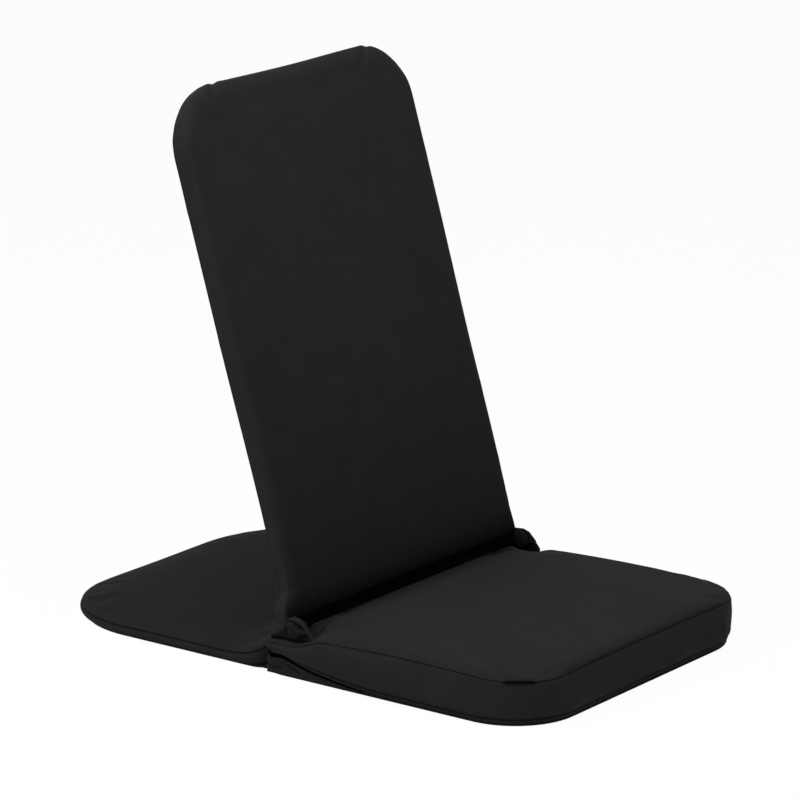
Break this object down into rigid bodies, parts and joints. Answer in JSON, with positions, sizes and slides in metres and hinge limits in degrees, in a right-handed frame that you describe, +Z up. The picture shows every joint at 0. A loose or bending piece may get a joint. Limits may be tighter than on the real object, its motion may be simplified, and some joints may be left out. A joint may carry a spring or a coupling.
{
  "type": "folding floor chair",
  "caption": "Folding floor chair: a thick cloth seat pad, a leaning back pad that folds down onto the seat, and a thin tail pad behind it that folds under.",
  "frame": {"origin": "on the floor, under the middle of the chair's footprint", "axes": "+X to the sitter's left along the hinge axes, the sitter faces -Y and the tail pad lies towards +Y, +Z up"},
  "size_m": [0.402, 0.631, 0.563],
  "materials": {
    "cover_cloth": "matte woven",
    "lining_cloth": "matte nonwoven",
    "foam": "open-cell foam",
    "frame_steel": "satin powder coat",
    "hinge_steel": "zinc plated",
    "nylon": "matte"
  },
  "bodies": {
    "seat": {"seat_frame": "frame_steel", "seat_rear_bar": "frame_steel", "seat_foam": "foam", "seat_cover_top": "cover_cloth", "seat_cover_band": "cover_cloth", "seat_cover_base": "lining_cloth", "hinge_ear_left": "hinge_steel", "hinge_rivet_left": "hinge_steel", "hinge_washer_left": "nylon", "hinge_boot_left": "cover_cloth", "hinge_ear_right": "hinge_steel", "hinge_rivet_right": "hinge_steel", "hinge_washer_right": "nylon", "hinge_boot_right": "cover_cloth"},
    "back": {"back_frame": "frame_steel", "back_lower_bar": "frame_steel", "back_sling": "lining_cloth", "back_foam_front": "foam", "back_foam_rear": "foam", "back_cover_front": "cover_cloth", "back_cover_band": "cover_cloth", "back_cover_rear": "cover_cloth", "hinge_crank_left": "hinge_steel", "hinge_crank_right": "hinge_steel"},
    "tail": {"tail_rod": "frame_steel", "tail_foam": "foam", "tail_cover_top": "cover_cloth", "tail_cover_band": "cover_cloth", "tail_cover_base": "lining_cloth"}
  },
  "joints": [
    {"name": "back_fold", "type": "hinge", "parent": "seat", "child": "back", "pos_m": [0, -0.02401, 0.051], "axis": [1, 0, 0], "range_deg": [0, 107]},
    {"name": "tail_fold", "type": "hinge", "parent": "seat", "child": "tail", "pos_m": [0, 0.015, 0], "axis": [-1, 0, 0], "range_deg": [0, 175]}
  ]
}
